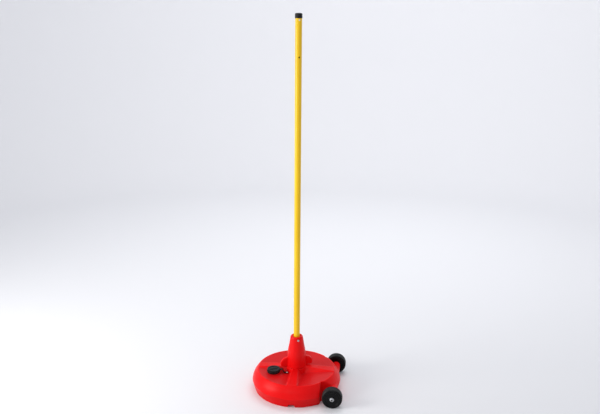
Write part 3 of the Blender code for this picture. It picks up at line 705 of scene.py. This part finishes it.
hub_black = Finish("hub_black", (0.0040, 0.0042, 0.0044), 0.30, **{"Specular IOR Level": 0.14})
grit = hub_black.grain(0.0011, 3.0)
worn = hub_black.grain(0.012, 3.0).ramp(0.5, 0.8)
hub_black.set("Base Color", hub_black.colour(worn, (0.0030, 0.0032, 0.0034), (0.0085, 0.0087, 0.0090)))
hub_black.set("Roughness", 0.24 + 0.14 * grit)
hub_black.bump(grit, 0.00008, 0.5)
tread = Finish("tyre_grey", (0.020, 0.021, 0.021), 0.5, **{"Specular IOR Level": 0.16})
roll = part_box("wheel_tyre_left")[1][2] - axle.z
crumb = tread.grain(0.0014, 4.0)
dust = tread.grain(0.009, 4.0).ramp(0.45, 0.75)
off_axle = ((tread.x - axle.x) ** 2.0 + (tread.z - axle.z) ** 2.0) ** 0.5
rolls = off_axle.ramp(roll - 0.0026, roll - 0.0010)
face = tread.colour(dust * 0.5, (0.0030, 0.0032, 0.0034), (0.0090, 0.0090, 0.0089))
tread.set("Base Color", tread.colour(rolls, face, tread.colour(dust * 0.7, (0.017, 0.0178, 0.0182),
                                                               (0.042, 0.0415, 0.040))))
tread.set("Roughness", 0.26 + 0.30 * rolls + 0.12 * crumb + 0.06 * dust)
tread.bump(0.7 * crumb + 0.3 * dust, 0.00020, 0.6)
nylon = Finish("bush_nylon", (0.70, 0.70, 0.66), 0.45)
wax = nylon.grain(0.0030, 2.0)
nylon.set("Base Color", nylon.colour(wax, (0.72, 0.72, 0.68), (0.60, 0.59, 0.54)))
nylon.set("Roughness", 0.40 + 0.15 * wax)

rim = roll - 0.0110
for tag, side in sides:
    tyre = turned(f"tyre_{tag}", [
        (rim + 0.0003, outer - 0.0014), (rim + 0.0040, outer), (rim + 0.0072, outer - 0.0008),
        (roll - 0.0009, outer - 0.0036), (roll, outer - 0.0085), (roll, inner + 0.0085),
        (roll - 0.0009, inner + 0.0036),
        (rim + 0.0072, inner + 0.0008), (rim + 0.0040, inner), (rim + 0.0003, inner + 0.0014)],
        0.0030, True, 160)
    fit(along_axle(tyre, side), f"wheel_{tag}", tread, f"wheel_tyre_{tag}")
    hub = turned(f"hub_{tag}", [
        (0.0076, outer), (0.0128, outer), (0.0138, outer - 0.0026), (rim - 0.0060, outer - 0.0026),
        (rim - 0.0044, outer - 0.0008), (rim, outer - 0.0008), (rim, inner + 0.0008),
        (rim - 0.0044, inner + 0.0008), (rim - 0.0060, inner + 0.0026), (0.0138, inner + 0.0026),
        (0.0128, inner), (0.0076, inner)], 0.0009, True, 128)
    fit(along_axle(hub, side), f"wheel_{tag}", hub_black, f"wheel_hub_{tag}")
    bush = turned(f"bush_{tag}", [
        (0.0062, outer - 0.0004), (0.0073, outer - 0.0004), (0.0073, inner + 0.0004),
        (0.0062, inner + 0.0004)], 0.0002, True, 64)
    fit(along_axle(bush, side), f"wheel_{tag}", nylon, f"wheel_bush_{tag}")


# ---------------------------------------------------------------- Floor, light and camera
# A pale round studio floor that curves up into its wall, one soft lamp low on the left, a
# weaker one in front, one on the far wall, and a camera at eye height tipped a little down.

paper = Finish("studio_paper", (0.84, 0.84, 0.855), 0.8, **{"Specular IOR Level": 0.2})
paper.set("Roughness", 0.75 + 0.1 * paper.grain(0.02, 2.0))
turn = np.linspace(0, math.tau, 96, endpoint=False)
flat_r, curve_r, wall_z = 4.6, 1.8, 3.4
sweep = [(0.0, 0.0), (1.5, 0.0), (flat_r, 0.0)]
sweep += [(flat_r + curve_r * math.sin(a), curve_r - curve_r * math.cos(a))
          for a in np.linspace(0.1, math.pi / 2, 14)]
sweep += [(flat_r + curve_r, 2.6), (flat_r + curve_r, wall_z)]
floor = skin("floor", np.array([np.stack([r * np.cos(turn), r * np.sin(turn), np.full_like(turn, z)], -1)
                                for r, z in sweep]))
floor.data.materials.append(paper.material)
floor.data.shade_smooth()


def lamp(name, place, aim, size, power, shade):
    """A square soft light aimed at a point."""
    light = bpy.data.lights.new(name, "AREA")
    light.shape = "SQUARE"
    light.size = size
    light.energy = power
    light.color = shade
    made = bpy.data.objects.new(name, light)
    bpy.context.collection.objects.link(made)
    made.visible_camera = False
    made.location = place
    made.rotation_mode = "QUATERNION"
    made.rotation_quaternion = (Vector(aim) - Vector(place)).to_track_quat("-Z", "Y")


lamp("key", (-2.7, -1.3, 1.2), (0, 0, 0.45), 1.4, 66, (1.0, 0.985, 0.965))
lamp("front", (-0.9, -4.2, 2.8), (0, 0, 0.3), 1.8, 21, (1.0, 0.99, 0.98))
lamp("back", (0.4, 1.8, 4.2), (0.2, 4.5, 1.2), 2.6, 100, (0.97, 0.98, 1.0))
world = bpy.data.worlds.new("studio")
world.use_nodes = True
world.node_tree.nodes["Background"].inputs["Color"].default_value = (0.92, 0.94, 1.0, 1.0)
world.node_tree.nodes["Background"].inputs["Strength"].default_value = 0.62
bpy.context.scene.world = world
bpy.context.scene.view_settings.view_transform = "Standard"

eye = bpy.data.cameras.new("eye")
eye.sensor_width = 36.0
eye.lens = 38.16
eye.shift_y = 0.0006
camera = bpy.data.objects.new("eye", eye)
bpy.context.collection.objects.link(camera)
heading = Matrix.Rotation(math.radians(6.5), 4, "Z") @ Matrix.Rotation(math.radians(76.5), 4, "X")
camera.matrix_world = (Matrix.Translation((0.336, -2.847, 1.600)) @ heading
                       @ Matrix.Rotation(math.radians(0.41), 4, "Z"))
bpy.context.scene.camera = camera
